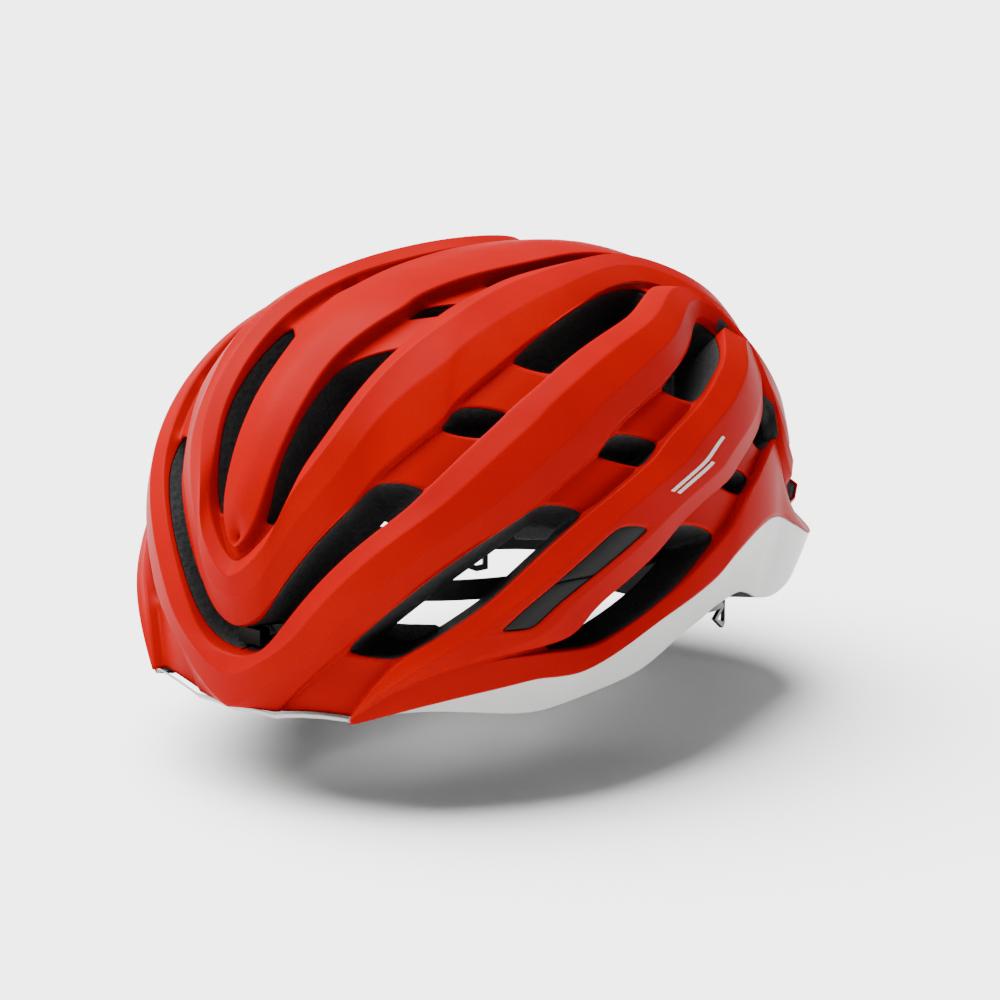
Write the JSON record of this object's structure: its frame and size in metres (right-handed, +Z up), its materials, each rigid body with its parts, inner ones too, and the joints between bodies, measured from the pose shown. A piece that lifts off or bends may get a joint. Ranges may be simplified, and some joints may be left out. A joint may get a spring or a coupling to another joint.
{
  "type": "cycling helmet",
  "caption": "Vented road cycling helmet: ribbed outer shell over a foam liner, with a height-adjustable rear cradle and a dial that draws in two rack arms.",
  "frame": {"origin": "middle of the footprint on the plane that the helmet stands on: the front of its lower rim and, behind, the lower side of the dial housing", "axes": "+Z up through the crown, the brow faces -Y, the wearer's left is +X"},
  "size_m": [0.2084, 0.278, 0.1485],
  "materials": {
    "red_shell": "matt in-mould polycarbonate, red",
    "white_shell": "satin polycarbonate, white",
    "foam": "black expanded polystyrene beads",
    "insert": "fine-grained black plastic",
    "nylon": "moulded black nylon",
    "pinion": "natural acetal",
    "steel": "plated steel",
    "pad": "brushed charcoal knit over soft foam",
    "hook": "hook tape"
  },
  "bodies": {
    "helmet": {"top_shell": "red_shell", "lower_shell": "white_shell", "foam_liner": "foam", "brow_strut": "nylon", "front_headband": "nylon", "temple_anchor_left": "nylon", "temple_anchor_right": "nylon", "brow_pad": "pad", "crown_pad_centre": "pad", "crown_pad_left": "pad", "crown_pad_right": "pad", "side_pad_left": "pad", "side_pad_right": "pad", "hook_discs": "hook", "strap_anchors": "nylon", "height_rail": "nylon", "slot_insert_front_left": "insert", "slot_insert_front_right": "insert", "slot_insert_rear_left": "insert", "slot_insert_rear_right": "insert"},
    "cradle": {"cradle_yoke": "nylon", "housing_inner": "nylon", "housing_outer": "nylon", "housing_screws": "steel", "click_spring": "steel", "nape_pad_left": "pad", "nape_pad_right": "pad"},
    "dial": {"dial_knob": "nylon", "dial_pinion": "pinion", "dial_screw": "steel"},
    "arm_left": {"rack_arm_left": "nylon"},
    "arm_right": {"rack_arm_right": "nylon"}
  },
  "joints": [
    {"name": "cradle_height", "type": "slide", "parent": "helmet", "child": "cradle", "axis": [0, 0, 1], "range_m": [0, 0.012]},
    {"name": "dial_turn", "type": "hinge", "parent": "cradle", "child": "dial", "pos_m": [0, 0.0965, 0.013], "axis": [0, 1, 0], "range_deg": [0, 114.6]},
    {"name": "arm_left_slide", "type": "slide", "parent": "cradle", "child": "arm_left", "axis": [-1, 0, 0], "range_m": [0, 0.008]},
    {"name": "arm_right_slide", "type": "slide", "parent": "cradle", "child": "arm_right", "axis": [1, 0, 0], "range_m": [0, 0.008]}
  ],
  "couplings": [
    {"joint": "dial_turn", "follows": "arm_left_slide", "rad_per_m": 250},
    {"joint": "arm_right_slide", "follows": "arm_left_slide", "ratio": 1}
  ]
}
